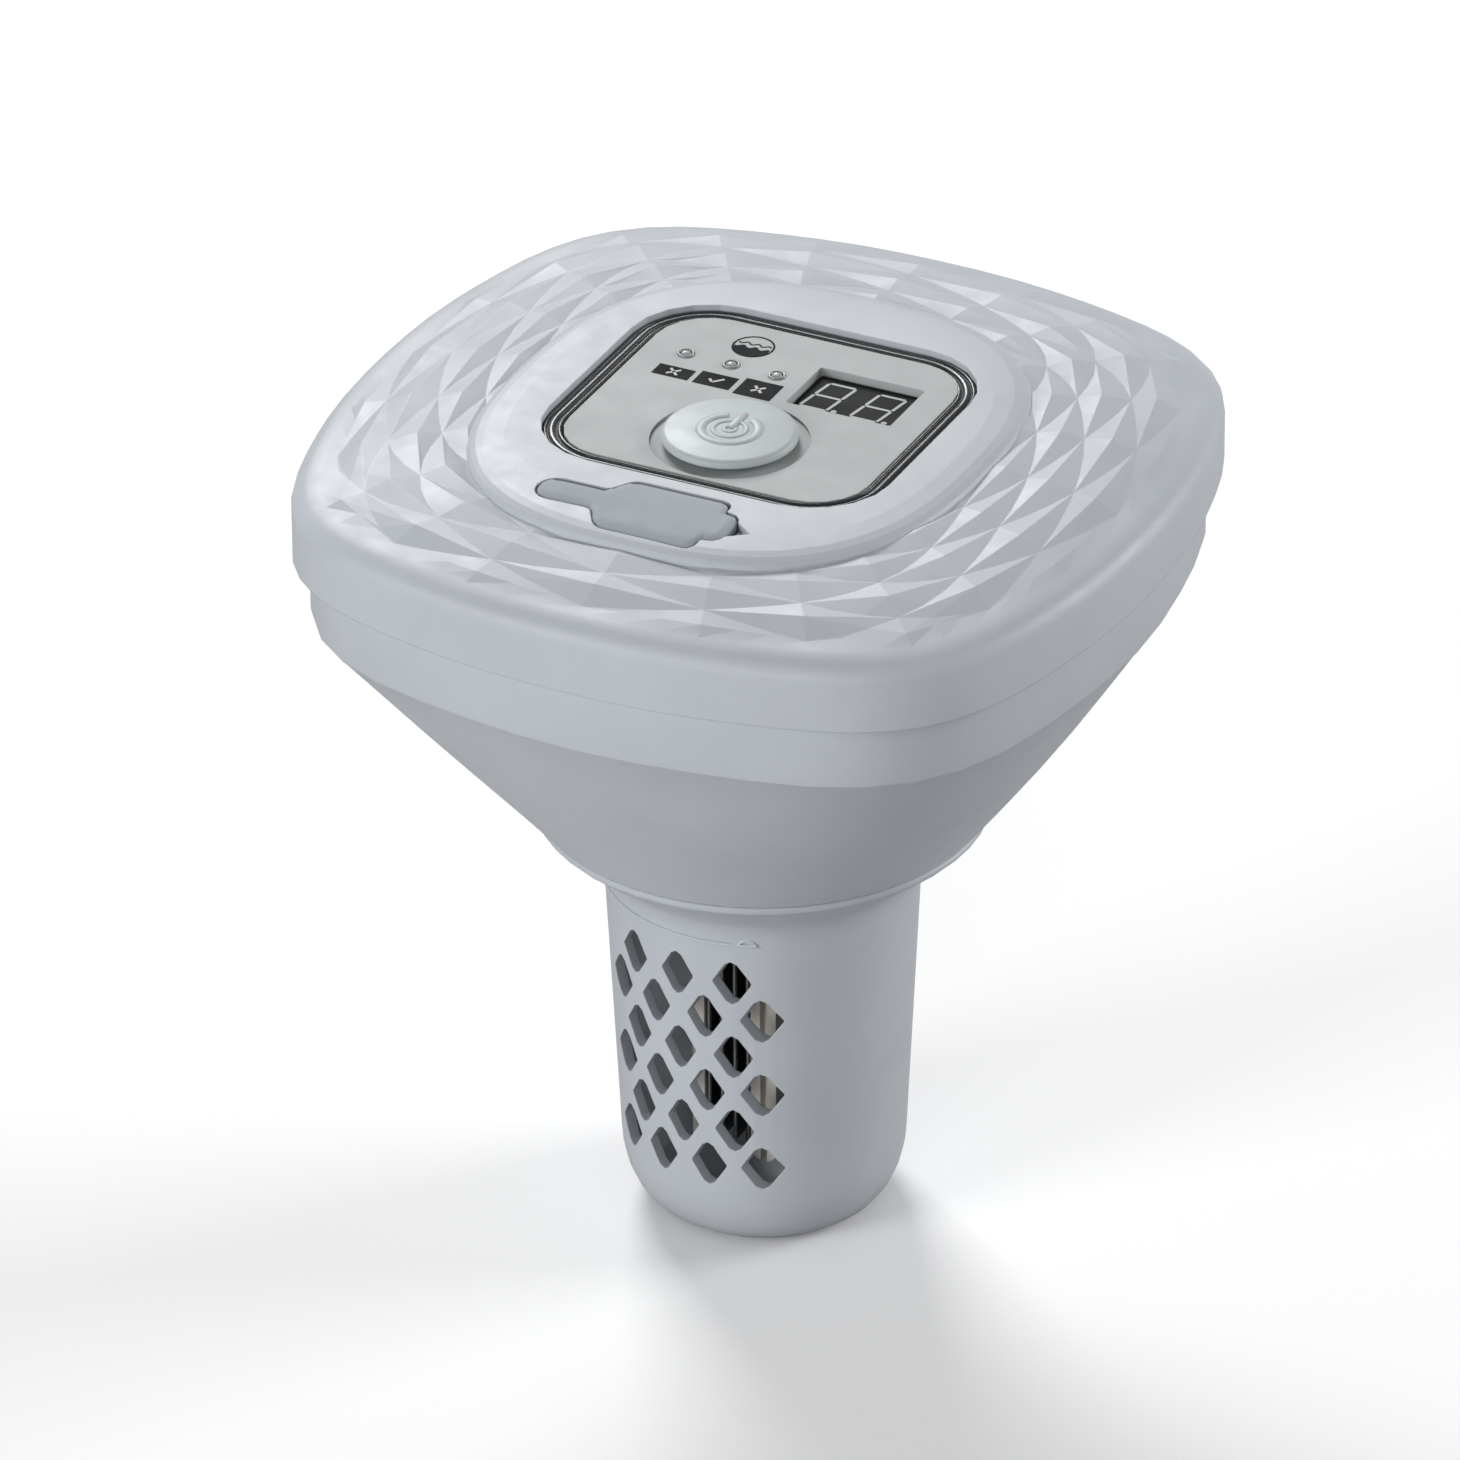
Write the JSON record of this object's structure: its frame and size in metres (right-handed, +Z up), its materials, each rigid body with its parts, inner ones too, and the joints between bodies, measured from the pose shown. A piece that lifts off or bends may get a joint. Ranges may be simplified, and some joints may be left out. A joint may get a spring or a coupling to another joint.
{
  "type": "floating chlorine dispenser",
  "caption": "Rounded-square floating spa chlorinator with a faceted top, a control panel, a port flap and a slotted electrode guard below.",
  "frame": {"origin": "middle of the flat bottom of the electrode guard", "axes": "+Z up out of the water through the control panel, -Y towards the charging port's side, which is the front"},
  "size_m": [0.164, 0.164, 0.1763],
  "materials": {
    "shell_grey": "smooth satin",
    "panel_grey": "fine satin, slightly green",
    "rubber_dark": "matte",
    "rubber_grey": "matte silicone",
    "lens_clear": "milky, translucent",
    "display_black": "satin",
    "board_green": "solder mask",
    "steel": "stainless",
    "cell_wrap": "shrink sleeve",
    "inner_plastic": "moulded",
    "cream_plastic": "moulded",
    "coated_titanium": "matte oxide coating"
  },
  "bodies": {
    "head": {"top_cover": "shell_grey", "control_panel": "panel_grey", "panel_gasket": "rubber_dark", "display_module": "display_black", "light_pipe_left": "lens_clear", "light_pipe_middle": "lens_clear", "light_pipe_right": "lens_clear", "push_switch": "inner_plastic", "main_circuit_board": "board_green", "circuit_board_screw_1": "steel", "circuit_board_screw_2": "steel", "circuit_board_screw_3": "steel", "circuit_board_screw_4": "steel", "flap_strap": "rubber_grey", "charging_socket": "inner_plastic", "charging_port_board": "board_green", "port_board_screw_1": "steel", "port_board_screw_2": "steel", "lower_bowl": "shell_grey", "cover_seal": "rubber_dark", "battery_cradle": "inner_plastic", "battery_strap": "inner_plastic", "battery_cell_1": "cell_wrap", "battery_cell_2": "cell_wrap", "cradle_screw_1": "steel", "cradle_screw_2": "steel", "cradle_screw_3": "steel", "cradle_screw_4": "steel", "electrode_head": "inner_plastic", "electrode_head_o_ring": "rubber_dark", "electrode_head_screw_1": "steel", "electrode_head_screw_2": "steel", "electrode_head_screw_3": "steel", "electrode_terminal_left": "steel", "electrode_terminal_right": "steel", "terminal_nut_left": "steel", "terminal_nut_right": "steel", "electrode_frame": "cream_plastic", "electrode_plate_1": "coated_titanium", "electrode_plate_2": "coated_titanium", "electrode_plate_3": "coated_titanium", "electrode_plate_4": "coated_titanium"},
    "button": {"power_button": "lens_clear", "button_retaining_ring": "steel"},
    "plunger": {"switch_plunger": "rubber_dark"},
    "flap": {"charging_port_flap": "rubber_grey"},
    "guard_turn": {"neck_o_ring": "rubber_dark"},
    "guard": {"electrode_guard": "shell_grey"}
  },
  "joints": [
    {"name": "button_press", "type": "slide", "parent": "head", "child": "button", "axis": [0, 0, -1], "range_m": [0, 0.0008], "stiffness_N_per_m": 600},
    {"name": "plunger_press", "type": "slide", "parent": "head", "child": "plunger", "axis": [0, 0, -1], "range_m": [0, 0.0008], "stiffness_N_per_m": 300},
    {"name": "flap_hinge", "type": "hinge", "parent": "head", "child": "flap", "pos_m": [-0.0116, -0.0469, 0.1748], "axis": [0, -1, 0], "range_deg": [0, 125]},
    {"name": "guard_twist", "type": "hinge", "parent": "head", "child": "guard_turn", "pos_m": [0, 0, 0.089], "axis": [0, 0, -1], "range_deg": [0, 60]},
    {"name": "guard_drop", "type": "slide", "parent": "guard_turn", "child": "guard", "axis": [0, 0, -1], "range_m": [0, 0.00167]}
  ],
  "couplings": [
    {"joint": "plunger_press", "follows": "button_press", "ratio": 1},
    {"joint": "guard_drop", "follows": "guard_twist", "m_per_rad": 0.0015915}
  ]
}
